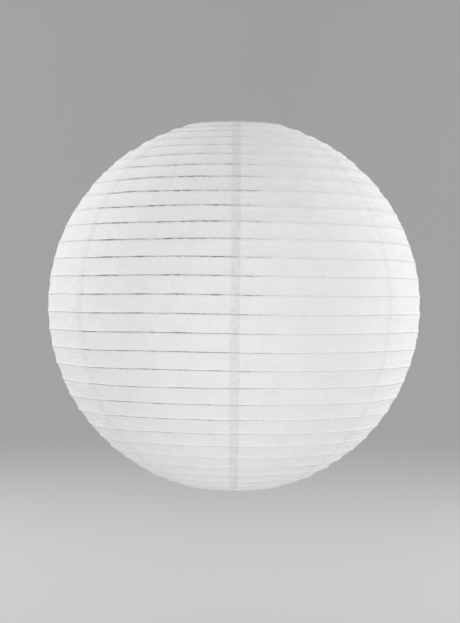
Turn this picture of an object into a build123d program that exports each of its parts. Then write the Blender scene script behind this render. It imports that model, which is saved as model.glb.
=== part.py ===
from build123d import *
import math
import os

# Accordion paper lantern: a paper globe on level wire ribs, stretched from inside by a wire expander.
# Millimetres, +Z up. The origin is the centre of the expander's hanging eye, where the lantern is hung.

# The globe
lantern_d = 400.0          # across the sphere that the folds lie on
mouth_d = 109.0            # outside of the two end rings
band_count = 29            # paper bands from mouth to mouth
fold_lift = 0.6            # degrees that the middle folds sit above an even spacing
fold_spread = 0.9          # degrees that the folds near the mouths are pushed towards them, so the middle bands are widest
paper_t = 0.25             # paper skin with its glue
rib_wire_d = 0.8           # wire inside each fold
end_wire_d = 2.0           # stiffer wire of the two end rings

# The expander
frame_wire_d = 2.5         # spring wire of the expander
eye_d = 12.0               # middle of the wire, across the hanging eye
eye_below_mouth = 1.5      # the eye's centre under the top ring's plane
bar_above_mouth = 1.5      # the crossbar's centre over the top ring's plane
wire_inside_ring = 2.0     # free space between the expander's upright wire and the end ring
shelf_reach = 2.2          # how far a shelf's wire passes the middle of the end ring
shelf_pitch = 4.4          # between the two runs of a shelf's hairpin
hairpin_bend = 2.0         # bend radius in the hairpins
shoulder_bend = 1.6        # bend radius beside the end rings
leg_break = 3.5            # from a shoulder's lower run down to the leg's turning point
foot_tip = 3.0             # the leg's end below the bottom ring's plane

# Fits
clearance = 0.3            # between pieces that move past each other
glue_gap = 0.05            # between a rib's wire and the paper that it is glued to

globe_r = lantern_d / 2
mouth_r = mouth_d / 2
mouth_angle = math.acos(mouth_r / globe_r)
mouth_z = eye_below_mouth
middle_z = mouth_z - globe_r * math.sin(mouth_angle)
bottom_mouth_z = 2 * middle_z - mouth_z
end_ring_r = mouth_r - end_wire_d / 2
upright_x = end_ring_r - (end_wire_d + frame_wire_d) / 2 - wire_inside_ring
shelf_x = end_ring_r + shelf_reach
shelf_drop = (end_wire_d + frame_wire_d) / 2 + clearance
lower_run_drop = shelf_drop + shelf_pitch
leg_pivot_drop = lower_run_drop + leg_break

os.makedirs("parts", exist_ok=True)


def save(shape, node, color):
    """Write one sub-part to its STEP file, under the node's name."""
    shape.label = node
    shape.color = Color(color)
    export_step(shape, f"parts/{node}.step")


def crease(i):
    """Radius and height of fold i. Fold 0 is the top end ring, and fold band_count the bottom one."""
    way = math.pi * i / band_count
    shift = math.radians(fold_lift * math.sin(way) + fold_spread * math.sin(2 * way))
    angle = mouth_angle * (1 - 2 * i / band_count) + shift
    return globe_r * math.cos(angle), middle_z + globe_r * math.sin(angle)


def band_ends(i):
    """The wider and the narrower fold of paper band i, counted from 1 at the top."""
    upper, lower = crease(i - 1), crease(i)
    return (lower, upper) if lower[0] > upper[0] else (upper, lower)


widest_fold = max(range(1, band_count), key=lambda i: crease(i)[0])


def slope(wide, narrow):
    """Unit vector in radius and height along a band's skin, from its wide end to its narrow end."""
    length = math.hypot(wide[0] - narrow[0], narrow[1] - wide[1])
    return (narrow[0] - wide[0]) / length, (narrow[1] - wide[1]) / length


def paper_band(i):
    """One cone of paper. Its wide end is glued to its own rib, and its narrow end clears the next rib.
    The nearly straight middle band is wide enough for the next fold to pass inside it."""
    wide, narrow = band_ends(i)
    free_r = narrow[0] + clearance
    wide = max(wide[0], free_r + paper_t), wide[1]
    along_r, along_z = slope(wide, narrow)
    side = math.copysign(1, along_z)
    profile = Polyline(
        (wide[0], 0, wide[1]),
        (free_r + paper_t * abs(along_z), 0, narrow[1]),
        (free_r, 0, narrow[1] + side * paper_t * along_r),
        (wide[0] - paper_t / abs(along_z), 0, wide[1]),
        close=True,
    )
    return revolve(make_face(profile), axis=Axis.Z)


def ring(radius, height, wire_d):
    """A closed ring of round wire, level about the lantern's axis."""
    return Pos(0, 0, height) * Torus(radius, wire_d / 2)


def rib(i):
    """The wire inside fold i, against the inner face of the wide end of its own band."""
    wide = crease(i)
    to_wire = paper_t + glue_gap + rib_wire_d / 2
    if i == widest_fold:
        return ring(wide[0] - to_wire, wide[1], rib_wire_d)
    own_band = i if i < widest_fold else i + 1
    along_r, along_z = slope(*band_ends(own_band))
    side = math.copysign(1, along_z)
    radius = wide[0] + along_r * rib_wire_d / 2 - abs(along_z) * to_wire
    height = wide[1] + along_z * rib_wire_d / 2 + side * along_r * to_wire
    return ring(radius, height, rib_wire_d)


def bent_wire(points, bends):
    """Round expander wire along straight runs in the XZ plane, with a bend radius at each corner."""
    path = FilletPolyline(*[(x, 0, z) for x, z in points], radius=bends)
    start = Plane(origin=path @ 0, z_dir=path % 0)
    return sweep(start * Circle(frame_wire_d / 2), path=path)


def half_bridge():
    """Right half of the bridge: crossbar, the step down inside the ring, and the shelf under the ring."""
    bar_z = mouth_z + bar_above_mouth
    eye_x = math.sqrt((eye_d / 2) ** 2 - bar_z ** 2)
    shelf_z = mouth_z - shelf_drop
    lower_z = mouth_z - lower_run_drop
    end_z = mouth_z - leg_pivot_drop + clearance / 2
    points = [
        (eye_x, bar_z),
        (upright_x, bar_z),
        (upright_x, shelf_z),
        (shelf_x, shelf_z),
        (shelf_x, lower_z),
        (upright_x, lower_z),
        (upright_x, end_z),
    ]
    return bent_wire(points, [shoulder_bend, shoulder_bend, hairpin_bend, hairpin_bend, hairpin_bend])


def bridge():
    """The expander's top: the hanging eye with half a crossbar fused to each side of it."""
    eye = Rot(90, 0, 0) * Torus(eye_d / 2, frame_wire_d / 2)
    half = half_bridge()
    return eye + half + half.mirror(Plane.YZ)


def right_leg():
    """A leg from its turning point down to the foot, whose shelf stands on the bottom ring."""
    start_z = mouth_z - leg_pivot_drop - clearance / 2
    upper_z = bottom_mouth_z + lower_run_drop
    shelf_z = bottom_mouth_z + shelf_drop
    points = [
        (upright_x, start_z),
        (upright_x, upper_z),
        (shelf_x, upper_z),
        (shelf_x, shelf_z),
        (upright_x, shelf_z),
        (upright_x, bottom_mouth_z - foot_tip),
    ]
    return bent_wire(points, [hairpin_bend, hairpin_bend, hairpin_bend, shoulder_bend])


save(bridge(), "expander_bridge", "gray")
save(right_leg(), "expander_leg_right", "gray")
save(right_leg().mirror(Plane.YZ), "expander_leg_left", "gray")

save(ring(end_ring_r, mouth_z, end_wire_d), "top_ring", "slategray")
save(ring(end_ring_r, bottom_mouth_z, end_wire_d), "bottom_ring", "slategray")

for number in range(1, band_count):
    save(rib(number), f"rib_{number:02d}", "silver")

for number in range(1, band_count + 1):
    save(paper_band(number), f"paper_band_{number:02d}", "white")
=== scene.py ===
import math

import bpy
import numpy as np
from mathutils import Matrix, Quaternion, Vector


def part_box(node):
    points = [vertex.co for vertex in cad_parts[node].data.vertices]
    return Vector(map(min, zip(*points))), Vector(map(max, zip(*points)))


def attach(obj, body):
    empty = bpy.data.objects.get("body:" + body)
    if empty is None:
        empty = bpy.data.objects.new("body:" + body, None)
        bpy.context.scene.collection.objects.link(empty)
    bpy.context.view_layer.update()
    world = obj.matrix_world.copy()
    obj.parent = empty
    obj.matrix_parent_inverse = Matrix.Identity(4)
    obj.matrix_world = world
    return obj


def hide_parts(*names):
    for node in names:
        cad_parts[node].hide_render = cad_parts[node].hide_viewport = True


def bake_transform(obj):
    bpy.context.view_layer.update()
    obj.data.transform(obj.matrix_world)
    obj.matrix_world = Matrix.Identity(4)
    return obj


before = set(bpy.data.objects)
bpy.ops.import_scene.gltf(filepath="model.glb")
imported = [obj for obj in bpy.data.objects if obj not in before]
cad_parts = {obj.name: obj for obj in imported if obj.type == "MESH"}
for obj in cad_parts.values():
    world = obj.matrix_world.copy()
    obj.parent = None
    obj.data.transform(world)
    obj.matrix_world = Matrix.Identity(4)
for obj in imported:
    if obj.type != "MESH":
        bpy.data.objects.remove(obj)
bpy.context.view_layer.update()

scene = bpy.context.scene

# Camera
# It stands in front of the globe, about level with its middle, and looks almost level.
# It is turned half a degree about its own line of sight, so the folds run a little down to the right.
top_ring_box, bottom_ring_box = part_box("top_ring"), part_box("bottom_ring")
middle_height = (top_ring_box[1].z + bottom_ring_box[0].z) / 2
camera_distance, camera_left, camera_above, look_below = 1.66, 0.0044, 0.004, 0.0062
lens_length, camera_roll = 88.5, math.radians(0.5)
stand = Vector((-camera_left, -camera_distance, middle_height + camera_above))
aim = Vector((-camera_left, 0.0, middle_height - look_below))
camera = bpy.data.objects.new("camera", bpy.data.cameras.new("camera"))
camera.data.lens = lens_length
camera.location = stand
camera.rotation_mode = "QUATERNION"
camera.rotation_quaternion = (aim - stand).to_track_quat("-Z", "Y") @ Quaternion((0, 0, 1), camera_roll)
scene.collection.objects.link(camera)
scene.camera = camera
scene.view_settings.view_transform = "Standard"

# Studio
# A pale floor that sweeps up into a round wall, and soft light from all sides.
# Two tall soft lamps behind the lantern, left and right, brighten its rims. A weak one hangs above the front,
# and a wide one stands low in front and lights the lower half.
floor_drop, floor_radius, sweep_radius, wall_height = 0.45, 3.6, 1.6, 3.4
floor_middle = 0.0002


def light_material(name, shade, grain):
    """A plain painted surface: one pale shade that wanders by a few hundredths with soft noise."""
    made = bpy.data.materials.new(name)
    made.use_nodes = True
    nodes, links = made.node_tree.nodes, made.node_tree.links
    surface = nodes["Principled BSDF"]
    surface.inputs["Roughness"].default_value = 0.9
    place = nodes.new("ShaderNodeTexCoord")
    noise = nodes.new("ShaderNodeTexNoise")
    ramp = nodes.new("ShaderNodeValToRGB")
    noise.inputs["Scale"].default_value = grain
    ramp.color_ramp.elements[0].color = (shade * 0.97, shade * 0.97, shade * 0.975, 1)
    ramp.color_ramp.elements[1].color = (shade, shade, shade * 1.005, 1)
    links.new(place.outputs["Object"], noise.inputs["Vector"])
    links.new(noise.outputs["Fac"], ramp.inputs["Fac"])
    links.new(ramp.outputs["Color"], surface.inputs["Base Color"])
    return made


def grid_mesh(name, points, wrap_rows, wrap_columns, flat_rows=()):
    """A mesh of four-sided faces over a grid of points, rows by columns.
    The last row or column joins the first where it wraps. Faces point along row step x column step."""
    rows, columns = points.shape[:2]
    row = np.arange(rows if wrap_rows else rows - 1)
    column = np.arange(columns if wrap_columns else columns - 1)
    row, column = np.meshgrid(row, column, indexing="ij")
    below, beside = (row + 1) % rows, (column + 1) % columns
    corners = np.stack((row * columns + column, below * columns + column,
                        below * columns + beside, row * columns + beside), axis=-1).reshape(-1, 4)
    mesh = bpy.data.meshes.new(name)
    mesh.vertices.add(rows * columns)
    mesh.vertices.foreach_set("co", points.astype(np.float32).ravel())
    mesh.loops.add(corners.size)
    mesh.loops.foreach_set("vertex_index", corners.astype(np.int32).ravel())
    mesh.polygons.add(len(corners))
    mesh.polygons.foreach_set("loop_start", np.arange(0, corners.size, 4, dtype=np.int32))
    smooth = ~np.isin(row.ravel(), flat_rows)
    mesh.update(calc_edges=True)
    mesh.polygons.foreach_set("use_smooth", smooth)
    mesh.validate()
    piece = bpy.data.objects.new(name, mesh)
    scene.collection.objects.link(piece)
    return piece


floor_height = middle_height - floor_drop
sweep = np.linspace(0, math.pi / 2, 17)
floor_r = np.concatenate(([floor_middle], np.linspace(0.3, floor_radius, 12)))
swept_r = floor_radius + sweep_radius * np.sin(sweep[1:])
swept_z = sweep_radius * (1 - np.cos(sweep[1:]))
studio_r = np.concatenate((floor_r, swept_r, [floor_radius + sweep_radius]))
studio_z = floor_height + np.concatenate((np.zeros(len(floor_r)), swept_z, [wall_height]))
round_way = np.linspace(0, 2 * math.pi, 128, endpoint=False)
studio_points = np.stack((studio_r[:, None] * np.cos(round_way), studio_r[:, None] * np.sin(round_way),
                          studio_z[:, None] + 0 * round_way), axis=-1)
studio = grid_mesh("studio_floor", studio_points, False, True)
studio.data.materials.append(light_material("studio_paint", 0.42, 1.5))
studio.visible_diffuse = False
studio.visible_shadow = False
studio.visible_transmission = False

world = bpy.data.worlds.new("studio_light")
world.use_nodes = True
world.node_tree.nodes["Background"].inputs["Color"].default_value = (1.0, 1.0, 1.0, 1)
world.node_tree.nodes["Background"].inputs["Strength"].default_value = 0.77
scene.world = world


def soft_lamp(name, place, width, height, watts):
    """A rectangular soft lamp at that place, in metres, turned to the globe's middle."""
    lamp = bpy.data.objects.new(name, bpy.data.lights.new(name, "AREA"))
    lamp.data.shape = "RECTANGLE"
    lamp.data.size, lamp.data.size_y, lamp.data.energy = width, height, watts
    lamp.location = Vector(place) + Vector((0, 0, middle_height))
    lamp.rotation_mode = "QUATERNION"
    lamp.rotation_quaternion = (-Vector(place)).to_track_quat("-Z", "Y")
    scene.collection.objects.link(lamp)


soft_lamp("rim_lamp_right", (2.2, 1.0, 0.55), 0.9, 2.0, 50)
soft_lamp("rim_lamp_left", (-2.1, 1.1, 0.9), 0.7, 1.8, 44)
soft_lamp("top_lamp", (-0.3, -1.4, 2.2), 2.0, 1.4, 7)
soft_lamp("front_lamp", (0.1, -2.8, -0.9), 2.2, 1.2, 41)

# Paper globe
# Seven gores of thin white paper, glued to each other along upright seams and to a wire at each level fold.
# It folds flat like a bellows: each band between two folds is its own sheet.
paper_thick, seam_half_width = 0.00018, 0.00525
gore_count, panel_columns = 7, 78
mouth_radius = 0.0545
globe_radius = 0.200
fold_lift, fold_spread = math.radians(0.6), math.radians(0.9)
band_count = sum(name.startswith("paper_band_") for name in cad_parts)
mouth_angle = math.acos(mouth_radius / globe_radius)
fold_way = np.arange(band_count + 1) / band_count
fold_angle = (mouth_angle * (1 - 2 * fold_way) + fold_lift * np.sin(math.pi * fold_way)
              + fold_spread * np.sin(2 * math.pi * fold_way))
fold_radius = globe_radius * np.cos(fold_angle)
fold_height = middle_height + globe_radius * np.sin(fold_angle)
widest_fold = int(np.argmax(fold_radius))
band_lengths = 2 * globe_radius * np.sin(-np.diff(fold_angle) / 2)
gore_turn = 2 * math.pi / gore_count
wire_rise = 0.00028
seam_showing = np.array([1.0, 0.45, 0.6, 0.8, 0.8, 0.6, 0.45])
# A band's rows stand at these metres from its upper fold, and the same from its lower fold, with one between.
# The inner side of the sheet has only some of them, by number.
half_rows = np.array([0, 0.25, 0.5, 0.8, 1.15, 1.55, 2.05, 2.7, 3.5, 4.4, 5.4, 6.5, 7.8]) / 1000
inner_rows = np.array([0, 3, 6, 8, 10, 12, 14, 16, 18, 20, 23, 26])


def step_up(value, low, high):
    """0 below low, 1 above high, and an S curve between: 3 t squared minus 2 t cubed."""
    t = np.clip((value - low) / (high - low), 0, 1)
    return t * t * (3 - 2 * t)


def wander(turn, seed, slow, fast, count=9):
    """A value that wanders round the globe with a spread of about 1.
    It is a sum of cosines with whole numbers of waves from slow to fast, drawn by seed."""
    draw = np.random.default_rng(seed)
    waves = draw.integers(slow, fast + 1, count)[:, None, None]
    phase = draw.uniform(0, 2 * math.pi, count)[:, None, None]
    size = draw.uniform(0.5, 1.0, count)[:, None, None]
    turn = np.atleast_2d(turn)
    return (size * np.cos(waves * turn[None] + phase)).sum(0) / np.sqrt((size ** 2).sum() / 2)


def column_turns(radius):
    """Azimuth of every column at one radius, from the seam at the back left: 0 in front, growing rightwards.
    A seam strip has eight columns at fixed millimetres from its middle.
    The panel between two strips has columns that crowd near the seams."""
    strip = np.array([-5.25, -5.0, -3.2, -1.0, 1.0, 3.0, 5.0, 5.25]) / 1000
    share = np.linspace(0, 1, panel_columns + 2)[1:-1]
    share = share - 0.12 * np.sin(2 * math.pi * share) / (2 * math.pi) * 2
    radius = np.atleast_1d(radius)[:, None]
    gores = []
    for gore in range(gore_count):
        middle = (gore - 3) * gore_turn
        edge = middle + seam_half_width / radius
        next_edge = middle + gore_turn - seam_half_width / radius
        gores += [middle + strip / radius, edge + (next_edge - edge) * share]
    return np.concatenate(gores, axis=1)


def seam_offset(turn, radius):
    """Metres round the globe from the nearest seam's middle, positive to its right."""
    gore = np.round(turn / gore_turn)
    return (turn - gore * gore_turn) * np.atleast_1d(radius)[:, None]


def by_gore(turn, values):
    """The value of each gore, counted from the seam at the back left; a seam blends its two gores."""
    place = turn / gore_turn + 3
    gore = np.floor(place).astype(int) % gore_count
    share = place - np.floor(place)
    values = np.asarray(values, float)
    here = values[gore]
    before, after = values[(gore - 1) % gore_count], values[(gore + 1) % gore_count]
    blend_in, blend_out = step_up(share, -0.06, 0.06), step_up(share, 0.94, 1.06)
    return before * (1 - blend_in) + here * (blend_in - blend_out) + after * blend_out


def fold_shift(fold, turn):
    """How far a fold wanders up and outwards round the globe: slow waves, none at the two mouths.
    The folds within three of the widest share one wander, as they lie closest when folded flat."""
    if fold in (0, band_count):
        return np.zeros_like(turn), np.zeros_like(turn)
    drawn = widest_fold if abs(fold - widest_fold) <= 3 else fold
    slow_up, quick_up = wander(turn, 100 + drawn, 1, 9), wander(turn, 140 + drawn, 14, 34)
    slow_out, quick_out = wander(turn, 180 + drawn, 2, 14), wander(turn, 220 + drawn, 20, 60)
    up = 0.00042 * np.tanh(0.8 * slow_up) + 0.00010 * np.tanh(quick_up)
    out = 0.00026 + 0.00030 * np.tanh(slow_out) + 0.00008 * np.tanh(quick_out)
    return up, out


def painted_fold_shadow(fold, turn):
    """How dark the painted shadow line under a fold is, 0 to 1: shade painted into the paper's colour.
    It is strong on some gores, weaker towards the mouths, and broken into dashes."""
    level = by_gore(turn, (0.6, 0.16, 0.95, 0.10, 0.14, 0.6, 0.5))
    just_right_of_middle = 0.75 * (turn > 0) * (1 - step_up(turn, 0.04, 0.26)) * (turn < 1)
    seam_strip = np.exp(-(turn / 0.05) ** 2)
    level = np.maximum(level, just_right_of_middle) * (1 - 0.25 * seam_strip)
    dash = 0.5 + 0.5 * np.tanh(1.3 * wander(turn, 300 + fold, 12, 46, 12))
    from_mouth = step_up(min(fold, band_count - fold), 3.0, 8.5)
    return level * (0.45 + 0.55 * dash) * (0.28 + 0.72 * from_mouth)


def paper_relief(band, share, turn, radius):
    """Metres that a band's sheet stands outside the straight line between its two folds.
    It is a shallow scoop, plus a rise over each wire, a tuck under the upper wire,
    the doubled paper of a seam, puckers beside it and creases along the band."""
    band_length = band_lengths[band - 1]
    from_upper, from_lower = share * band_length, (1 - share) * band_length
    middle = 1 - (2 * share - 1) ** 4
    offset = seam_offset(turn, radius[:, 0])
    beside = np.maximum(np.abs(offset) - 0.005, 0)
    slack = by_gore(turn, (0.9, 1.0, 0.42, 0.55, 1.0, 0.8, 1.0))
    creased = by_gore(turn, (0.8, 0.9, 0.22, 0.45, 1.2, 0.8, 1.0))
    relief = -0.00055 * (1 + 0.35 * wander(turn, 400 + band, 2, 12)) * 4 * share * (1 - share)
    if band > 1:
        relief = relief + wire_rise * np.exp(-(from_upper / 0.0007) ** 2)
        relief = relief - 0.00030 * np.exp(-((from_upper - 0.0014) / 0.0006) ** 2)
    if band < band_count:
        relief = relief + wire_rise * np.exp(-(from_lower / 0.0007) ** 2)
    seam_edge = 1 - step_up(offset, 0.0050, seam_half_width)
    relief = relief + 0.00012 * step_up(offset, -seam_half_width, -0.0034) * seam_edge
    draw = np.random.default_rng(500 + band)
    for side in (-1, 1):
        for _ in range(2):
            size = 0.00030 + 0.00028 * np.tanh(wander(turn, draw.integers(1 << 20), 2, 7))
            slant, count, start = draw.uniform(60, 150) * side, draw.uniform(1.2, 3.0), draw.uniform(0, 6.28)
            wave = np.cos(2 * math.pi * count * share + slant * beside + start)
            fade = np.exp(-beside / 0.010) * step_up(beside, 0, 0.002)
            relief = relief + (np.sign(offset) == side) * size * slack * wave * middle * fade
    for _ in range(5):
        way = draw.uniform(0.12, 0.88) + 0.07 * wander(turn, draw.integers(1 << 20), 2, 10)
        strength = np.clip(wander(turn, draw.integers(1 << 20), 3, 16), 0, 1.6)
        width = draw.uniform(0.0008, 0.0016)
        sign = draw.choice((-1.0, 1.0))
        ridge = np.exp(-(((share - way) * band_length) / width) ** 2)
        relief = relief + sign * 0.00030 * creased * strength * middle * ridge
    cockle = wander(turn + 0.15 * share, draw.integers(1 << 20), 12, 40, 12) * np.cos(math.pi * (share - 0.5))
    return relief + 0.00012 * slack * cockle * middle


def paper_point(band, share, turn, depth):
    """Points of a band, rows by columns: the straight line between the two folds, shifted with them,
    then moved outwards by the relief less depth. Outwards turns evenly from the upper fold's direction
    to the lower fold's, so that two bands meet at a fold."""
    share = share[:, None]
    radius = fold_radius[band - 1] * (1 - share) + fold_radius[band] * share
    height = fold_height[band - 1] * (1 - share) + fold_height[band] * share
    angle = fold_angle[band - 1] * (1 - share) + fold_angle[band] * share
    up_a, out_a = fold_shift(band - 1, turn)
    up_b, out_b = fold_shift(band, turn)
    up, out = up_a * (1 - share) + up_b * share, out_a * (1 - share) + out_b * share
    out = out + paper_relief(band, share, turn, radius) - depth
    reach = radius + out * np.cos(angle) - up * np.sin(angle)
    rise = height + out * np.sin(angle) + up * np.cos(angle)
    return np.stack((reach * np.sin(turn), -reach * np.cos(turn), rise), axis=-1)


def paper_finish():
    """White glue-stiffened paper: fibres and cloudy thickness, doubled seams, a painted shadow line under
    each fold and a painted highlight just above it, and light coming through."""
    made = bpy.data.materials.new("lantern_paper")
    made.use_nodes = True
    nodes, links = made.node_tree.nodes, made.node_tree.links
    surface, output = nodes["Principled BSDF"], nodes["Material Output"]

    def value(kind, **settings):
        node = nodes.new(kind)
        for key, given in settings.items():
            setattr(node, key, given)
        return node

    def math_node(operation, first, second=None, clamp=False):
        node = value("ShaderNodeMath", operation=operation, use_clamp=clamp)
        for socket, given in zip(node.inputs, (first, second)):
            if isinstance(given, (int, float)):
                socket.default_value = given
            elif given is not None:
                links.new(given, socket)
        return node.outputs[0]

    def mapped(given, low, high, new_low, new_high):
        node = value("ShaderNodeMapRange", interpolation_type="SMOOTHSTEP")
        links.new(given, node.inputs["Value"])
        ends = {"From Min": low, "From Max": high, "To Min": new_low, "To Max": new_high}
        for name, number in ends.items():
            node.inputs[name].default_value = number
        return node.outputs["Result"]

    def sheet_mark(name):
        return value("ShaderNodeAttribute", attribute_name=name).outputs["Fac"]

    def noise(coordinate, scale, detail, rough=0.5, stretch=(1, 1, 1)):
        place = value("ShaderNodeMapping")
        place.inputs["Scale"].default_value = stretch
        node = value("ShaderNodeTexNoise")
        node.inputs["Scale"].default_value = scale
        node.inputs["Detail"].default_value = detail
        node.inputs["Roughness"].default_value = rough
        links.new(coordinate, place.inputs["Vector"])
        links.new(place.outputs["Vector"], node.inputs["Vector"])
        return node.outputs["Fac"]

    solid = value("ShaderNodeTexCoord").outputs["Object"]
    sheet = value("ShaderNodeUVMap", uv_map="paper_sheet").outputs["UV"]
    cloud = noise(solid, 60, 3)
    mottle = noise(solid, 260, 4, 0.6)
    fibre_level = noise(sheet, 900, 2, 0.5, (0.16, 1, 1))
    fibre_upright = noise(sheet, 1000, 2, 0.5, (1, 0.14, 1))
    fibres = math_node("MULTIPLY", fibre_level, fibre_upright)

    # Painted shadow: a thin, ragged dark line just under each upper fold, where the crease and the wire
    # inside shade the paper, and a faint soft painted shade below it.
    shadow = sheet_mark("painted_fold_shadow")
    from_upper, from_lower = sheet_mark("below_fold"), sheet_mark("above_fold")
    seam = sheet_mark("seam_strip")
    breaks = mapped(noise(sheet, 420, 3, 0.6, (0.35, 0.02, 1)), 0.35, 0.65, 0.55, 1.0)
    ragged = math_node("MULTIPLY", breaks, shadow)
    swell = mapped(noise(sheet, 300, 2, 0.5, (0.5, 0.02, 1)), 0.3, 0.7, 0.75, 1.25)
    line_reach = math_node("MULTIPLY", swell, 0.00145)
    across = math_node("DIVIDE", from_upper, line_reach)
    line = math_node("MULTIPLY", mapped(across, 0.35, 1.0, 1.0, 0.0), ragged)
    soft_fold_shade = math_node("MULTIPLY", mapped(from_upper, 0.0002, 0.0032, 1.0, 0.0), 0.05)
    # Painted highlight: a thin brighter strip just above each lower fold, where the crease catches the light;
    # the rest of the sheet is painted a little darker.
    lit_edge = mapped(from_lower, 0.0003, 0.0018, 1.0, 0.0)

    fleck = value("ShaderNodeVectorMath", operation="DISTANCE")
    fleck.inputs[1].default_value = (0.0165, -0.1326, middle_height - 0.1488)
    links.new(solid, fleck.inputs[0])
    tone = mapped(fleck.outputs["Value"], 0.0004, 0.0011, 0.55, 1.0)
    tone = math_node("MULTIPLY", tone, mapped(cloud, 0.3, 0.7, 0.975, 1.0))
    tone = math_node("MULTIPLY", tone, mapped(mottle, 0.3, 0.7, 0.972, 1.0))
    tone = math_node("MULTIPLY", tone, mapped(fibres, 0.12, 0.42, 0.965, 1.0))
    seam_tone = math_node("MULTIPLY", seam, mapped(mottle, 0.35, 0.65, 0.11, 0.05))
    tone = math_node("MULTIPLY", tone, math_node("SUBTRACT", 1.0, seam_tone))
    tone = math_node("MULTIPLY", tone, math_node("SUBTRACT", 1.0, math_node("MULTIPLY", line, 0.90)))
    tone = math_node("MULTIPLY", tone, math_node("SUBTRACT", 1.0, soft_fold_shade))
    tone = math_node("MULTIPLY", tone, math_node("ADD", 0.945, math_node("MULTIPLY", lit_edge, 0.055)), True)
    colour = value("ShaderNodeMix", data_type="RGBA")
    colour.inputs[6].default_value = (0.02, 0.02, 0.02, 1)
    colour.inputs[7].default_value = (0.900, 0.900, 0.905, 1)
    links.new(tone, colour.inputs[0])
    links.new(colour.outputs[2], surface.inputs["Base Color"])

    crinkle = math_node("MULTIPLY", noise(sheet, 330, 4, 0.55, (0.28, 1, 1)), sheet_mark("crinkle"))
    height = math_node("ADD", math_node("MULTIPLY", fibres, 0.35), crinkle)
    bump = value("ShaderNodeBump")
    bump.inputs["Strength"].default_value = 0.55
    bump.inputs["Distance"].default_value = 0.00045
    links.new(height, bump.inputs["Height"])
    links.new(bump.outputs["Normal"], surface.inputs["Normal"])
    links.new(mapped(mottle, 0.3, 0.7, 0.72, 0.88), surface.inputs["Roughness"])
    surface.inputs["Specular IOR Level"].default_value = 0.22
    through = value("ShaderNodeBsdfTranslucent")
    both = value("ShaderNodeMixShader")
    both.inputs[0].default_value = 0.30
    links.new(colour.outputs[2], through.inputs["Color"])
    links.new(bump.outputs["Normal"], through.inputs["Normal"])
    links.new(surface.outputs[0], both.inputs[1])
    links.new(through.outputs[0], both.inputs[2])
    links.new(both.outputs[0], output.inputs["Surface"])
    return made


def body_of_fold(fold):
    """The body that a fold goes with: the top ring's, the fold's own or the bottom ring's."""
    return "frame_top" if fold == 0 else "bottom_mouth" if fold == band_count else f"fold_{fold:02d}"


paper_material = paper_finish()
for band in range(1, band_count + 1):
    band_length = band_lengths[band - 1]
    row_share = np.concatenate((half_rows, [band_length / 2], band_length - half_rows[::-1])) / band_length
    row_radius = fold_radius[band - 1] * (1 - row_share) + fold_radius[band] * row_share
    turns = column_turns(row_radius)
    outer = paper_point(band, row_share, turns, 0.0)
    inner = paper_point(band, row_share, turns, paper_thick)[inner_rows]
    rows, share = len(row_share), np.concatenate((row_share, row_share[inner_rows[::-1]]))
    skin = grid_mesh(f"paper_skin_{band:02d}", np.concatenate((outer, inner[::-1])), True, True,
                     flat_rows=(rows - 1, rows + len(inner_rows) - 1))
    turns = np.concatenate((turns, turns[inner_rows[::-1]]))
    radius = np.concatenate((row_radius, row_radius[inner_rows[::-1]]))
    offset = seam_offset(turns, radius)
    shown = seam_showing[np.round(turns / gore_turn).astype(int) % gore_count]
    seam_strip = step_up(offset, -0.0054, -0.0030) * (1 - step_up(offset, 0.0050, seam_half_width)) * shown
    # The fourth mark is the strength of the painted shadow line under the band's upper fold.
    marks = {
        "below_fold": share[:, None] * band_length + 0 * turns,
        "above_fold": (1 - share[:, None]) * band_length + 0 * turns,
        "seam_strip": seam_strip,
        "painted_fold_shadow": painted_fold_shadow(band - 1, turns) if band > 1 else 0 * turns,
        "crinkle": by_gore(turns, (0.9, 1.0, 0.35, 0.5, 1.0, 0.8, 1.0)),
    }
    for name, values in marks.items():
        mark = skin.data.attributes.new(name, "FLOAT", "POINT")
        mark.data.foreach_set("value", values.astype(np.float32).ravel())
    columns = turns.shape[1]
    around = np.concatenate((turns, turns[:, :1] + 2 * math.pi), axis=1) * globe_radius
    down = band_lengths[:band - 1].sum() + share * band_length
    down_next = np.roll(down, -1)
    sheet_uv = np.empty((len(share), columns, 4, 2), np.float32)
    around_next = np.roll(around, -1, axis=0)
    sheet_uv[:, :, 0, 0], sheet_uv[:, :, 1, 0] = around[:, :-1], around_next[:, :-1]
    sheet_uv[:, :, 2, 0], sheet_uv[:, :, 3, 0] = around_next[:, 1:], around[:, 1:]
    sheet_uv[:, :, (0, 3), 1] = down[:, None, None]
    sheet_uv[:, :, (1, 2), 1] = down_next[:, None, None]
    skin.data.uv_layers.new(name="paper_sheet").data.foreach_set("uv", sheet_uv.ravel())
    skin.data.materials.append(paper_material)
    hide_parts(f"paper_band_{band:02d}")
    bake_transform(skin)

# Rib wires
# A thin closed ring of hard wire is glued inside each fold and holds the globe out to its full width.
# Each one wanders a little up, down, in and out with its fold.
rib_radius, rib_gap = 0.0004, 0.0003


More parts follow.
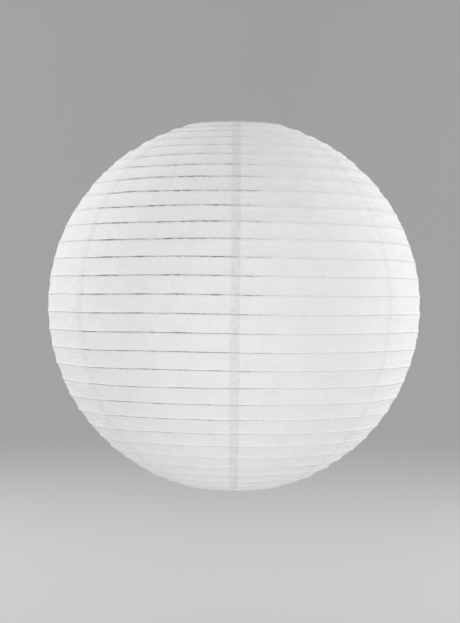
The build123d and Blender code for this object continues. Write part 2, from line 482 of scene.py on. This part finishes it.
def drawn_wire_marks():
    """Marks of drawn wire: a shade and a roughness that change in fine scratches and soft stains."""
    group = bpy.data.node_groups.new("drawn wire", "ShaderNodeTree")
    sockets = (("Bright", "NodeSocketColor", "INPUT"), ("Dull", "NodeSocketColor", "INPUT"),
               ("Scratch Scale", "NodeSocketFloat", "INPUT"), ("Rough", "NodeSocketFloat", "INPUT"),
               ("Colour", "NodeSocketColor", "OUTPUT"), ("Roughness", "NodeSocketFloat", "OUTPUT"))
    for name, kind, way in sockets:
        group.interface.new_socket(name, in_out=way, socket_type=kind)
    nodes, links = group.nodes, group.links
    given, out = nodes.new("NodeGroupInput"), nodes.new("NodeGroupOutput")
    place = nodes.new("ShaderNodeTexCoord")
    scratch, stain = nodes.new("ShaderNodeTexNoise"), nodes.new("ShaderNodeTexNoise")
    stain.inputs["Scale"].default_value = 90
    scratch.inputs["Detail"].default_value = 4
    links.new(place.outputs["Object"], scratch.inputs["Vector"])
    links.new(place.outputs["Object"], stain.inputs["Vector"])
    links.new(given.outputs["Scratch Scale"], scratch.inputs["Scale"])
    both, mix, add = nodes.new("ShaderNodeMath"), nodes.new("ShaderNodeMix"), nodes.new("ShaderNodeMath")
    both.operation, mix.data_type, add.operation = "MULTIPLY", "RGBA", "MULTIPLY_ADD"
    links.new(scratch.outputs["Fac"], both.inputs[0])
    links.new(stain.outputs["Fac"], both.inputs[1])
    spread = nodes.new("ShaderNodeMapRange")
    spread.inputs["From Min"].default_value, spread.inputs["From Max"].default_value = 0.12, 0.42
    links.new(both.outputs[0], spread.inputs["Value"])
    links.new(spread.outputs["Result"], mix.inputs[0])
    links.new(given.outputs["Dull"], mix.inputs[6])
    links.new(given.outputs["Bright"], mix.inputs[7])
    links.new(mix.outputs[2], out.inputs["Colour"])
    links.new(scratch.outputs["Fac"], add.inputs[0])
    add.inputs[1].default_value = 0.16
    links.new(given.outputs["Rough"], add.inputs[2])
    links.new(add.outputs[0], out.inputs["Roughness"])
    return group


wire_marks = drawn_wire_marks()


def wire_finish(name, bright, dull, scratch_scale, rough):
    """Bare metal wire with the drawn-wire marks."""
    made = bpy.data.materials.new(name)
    made.use_nodes = True
    nodes, links = made.node_tree.nodes, made.node_tree.links
    surface, marks = nodes["Principled BSDF"], nodes.new("ShaderNodeGroup")
    marks.node_tree = wire_marks
    marks.inputs["Bright"].default_value, marks.inputs["Dull"].default_value = (*bright, 1), (*dull, 1)
    marks.inputs["Scratch Scale"].default_value, marks.inputs["Rough"].default_value = scratch_scale, rough
    surface.inputs["Metallic"].default_value = 1.0
    links.new(marks.outputs["Colour"], surface.inputs["Base Color"])
    links.new(marks.outputs["Roughness"], surface.inputs["Roughness"])
    return made


def ring_tube(name, turn, ring_radius, ring_height, wire_radius, sides, open_ring=False):
    """A round tube along a level ring: its middle line has that radius and height at each azimuth,
    and the tube's circle turns from outwards through down."""
    about = np.linspace(0, 2 * math.pi, sides, endpoint=False)[:, None]
    reach = ring_radius + wire_radius * np.cos(about)
    rise = ring_height - wire_radius * np.sin(about)
    points = np.stack((reach * np.sin(turn), -reach * np.cos(turn), rise + 0 * turn), axis=-1)
    return grid_mesh(name, points, True, not open_ring)


rib_material = wire_finish("rib_steel", (0.62, 0.62, 0.61), (0.42, 0.42, 0.42), 900, 0.34)
for fold in range(1, band_count):
    turn = np.linspace(-math.pi, math.pi, 420, endpoint=False)
    up, out = fold_shift(fold, turn[None])
    inset = out[0] - paper_thick - rib_radius - rib_gap + wire_rise
    cosine, sine = np.cos(fold_angle[fold]), np.sin(fold_angle[fold])
    rib = ring_tube(f"rib_wire_{fold:02d}", turn, fold_radius[fold] + inset * cosine - up[0] * sine,
                    fold_height[fold] + inset * sine + up[0] * cosine, rib_radius, 8)
    rib.data.materials.append(rib_material)
    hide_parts(f"rib_{fold:02d}")
    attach(rib, body_of_fold(fold))

# End rings
# A stiffer wire ring closes the globe at each mouth. The edge of the paper is rolled over it and glued,
# with a short gap at each side where the expander's shelves bear on the bare wire.
end_ring_radius, hem_radius, hem_gap = 0.0535, 0.00122, 0.0065
ring_material = wire_finish("ring_steel", (0.70, 0.70, 0.69), (0.48, 0.48, 0.47), 700, 0.30)
for node, fold, body in (("top_ring", 0, "frame_top"), ("bottom_ring", band_count, "bottom_mouth")):
    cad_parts[node].data.materials.clear()
    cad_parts[node].data.materials.append(ring_material)
    for side, first in (("front", -math.pi / 2), ("back", math.pi / 2)):
        gap_turn = hem_gap / end_ring_radius
        turn = np.linspace(first + gap_turn, first + math.pi - gap_turn, 220)
        ends = np.minimum(turn - turn[0], turn[-1] - turn) * end_ring_radius
        unevenness = 1 + 0.05 * wander(turn, 700 + fold, 5, 60)[0]
        thick = hem_radius * unevenness * (0.86 + 0.14 * step_up(ends, 0, 0.0012))
        hem_name, hem_height = f"{node[:-5]}_hem_{side}", float(fold_height[fold])
        hem = ring_tube(hem_name, turn, end_ring_radius, hem_height, thick, 14, True)
        flat = np.zeros(len(hem.data.vertices), np.float32)
        marks = {"below_fold": 0.02, "above_fold": 0.02, "seam_strip": 0.6,
                 "painted_fold_shadow": 0.0, "crinkle": 1.0}
        for name, amount in marks.items():
            hem.data.attributes.new(name, "FLOAT", "POINT").data.foreach_set("value", flat + amount)
        hem.data.uv_layers.new(name="paper_sheet")
        hem.data.materials.append(paper_material)
        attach(hem, body)

# Expander
# One springy steel wire bent into a frame: a hanging eye and crossbar over the upper mouth, a shelf under
# each side of the top ring, and two legs that stretch the globe. The legs are squeezed in to take it out.
expander_radius, wire_bend = 0.00125, 0.0022
eye_radius, eye_shoulder, bar_height, upright_x, shelf_x = 0.006, 0.004, 0.0030, 0.04925, 0.0557
shelf_drop, lower_drop, pivot_drop, foot_tip, leg_overlap = 0.00255, 0.00695, 0.01045, 0.003, 0.0006
mouth_height, low_mouth_height = float(fold_height[0]), float(fold_height[band_count])


def bent_path(corners, bend, spacing=0.0004):
    """Points along straight runs between corners, evenly spaced, each averaged twice with its neighbours
    over the bend's length, which rounds the corners."""
    corners = np.asarray(corners, float)
    steps = np.linalg.norm(np.diff(corners, axis=0), axis=1)
    along = np.concatenate(([0], np.cumsum(steps)))
    even = np.linspace(0, along[-1], max(int(along[-1] / spacing), 8))
    path = np.stack([np.interp(even, along, corners[:, axis]) for axis in range(3)], axis=1)
    width = max(int(bend / spacing) // 2 * 2 + 1, 3)
    weight = np.ones(width) / width
    for _ in range(2):
        ahead, behind = 2 * path[0] - path[width // 2:0:-1], 2 * path[-1] - path[-2:-width // 2 - 1:-1]
        padded = np.concatenate((ahead, path, behind))
        path = np.stack([np.convolve(padded[:, axis], weight, "valid") for axis in range(3)], axis=1)
    return path


def wire_tube(name, path, radius, sides=14):
    """A round wire along a path: its circle stands square to the path, with one axis kept near +Y,
    and both ends are cut with a small bevel."""
    tangent = np.gradient(path, axis=0)
    tangent /= np.linalg.norm(tangent, axis=1)[:, None]
    across = np.cross((0.0, 1.0, 0.0), tangent)
    across /= np.linalg.norm(across, axis=1)[:, None]
    other = np.cross(tangent, across)
    size = np.full(len(path), radius)
    size[0] = size[-1] = radius * 0.72
    about = np.linspace(0, 2 * math.pi, sides, endpoint=False)
    circle = across[:, None] * np.cos(about)[None, :, None] + other[:, None] * np.sin(about)[None, :, None]
    piece = grid_mesh(name, path[:, None] + size[:, None, None] * circle[:, ::-1], False, True)
    mesh = piece.data
    for row, order in ((0, 1), (len(path) - 1, -1)):
        ring = [int(row * sides + column) for column in range(sides)][::order]
        count = len(mesh.loops)
        mesh.loops.add(sides)
        corners = np.concatenate((loop_vertices(mesh, count), ring)).astype(np.int32)
        mesh.loops.foreach_set("vertex_index", corners)
        mesh.polygons.add(1)
        mesh.polygons[-1].loop_start = count
    mesh.update(calc_edges=True)
    mesh.validate()
    return piece


def loop_vertices(mesh, count):
    """The vertex of each of a mesh's first face corners."""
    found = np.empty(len(mesh.loops), np.int32)
    mesh.loops.foreach_get("vertex_index", found)
    return found[:count]


expander_material = wire_finish("expander_steel", (0.66, 0.66, 0.65), (0.44, 0.44, 0.43), 600, 0.26)
side_run = [(eye_radius + eye_shoulder, bar_height), (upright_x, bar_height),
            (upright_x, mouth_height - shelf_drop), (shelf_x, mouth_height - shelf_drop),
            (shelf_x, mouth_height - lower_drop), (upright_x, mouth_height - lower_drop),
            (upright_x, mouth_height - pivot_drop)]
# The eye is one and a third turns of the wire.
coil = np.linspace(math.radians(150), math.radians(30 - 360), 60)
coil_y = np.linspace(-expander_radius, expander_radius, len(coil))
coil_points = np.stack((eye_radius * np.cos(coil), coil_y, eye_radius * np.sin(coil)), axis=1)
left_run = [(-x, 0.0, z) for x, z in side_run[::-1]]
right_run = [(x, 0.0, z) for x, z in side_run]
top_path = bent_path(left_run + [tuple(p) for p in coil_points] + right_run, wire_bend)
top_wire = wire_tube("expander_top_wire", top_path, expander_radius)
top_wire.data.materials.append(expander_material)
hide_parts("expander_bridge")
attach(top_wire, "frame_top")
for side, sign in (("left", -1), ("right", 1)):
    corners = [(upright_x, mouth_height - pivot_drop + leg_overlap),
               (upright_x, low_mouth_height + lower_drop), (shelf_x, low_mouth_height + lower_drop),
               (shelf_x, low_mouth_height + shelf_drop), (upright_x, low_mouth_height + shelf_drop),
               (upright_x, low_mouth_height - foot_tip)]
    leg_path = bent_path([(sign * x, 0.0, z) for x, z in corners], wire_bend, spacing=0.0008)
    leg = wire_tube(f"expander_{side}_wire", leg_path, expander_radius)
    leg.data.materials.append(expander_material)
    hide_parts(f"expander_leg_{side}")
    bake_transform(leg)
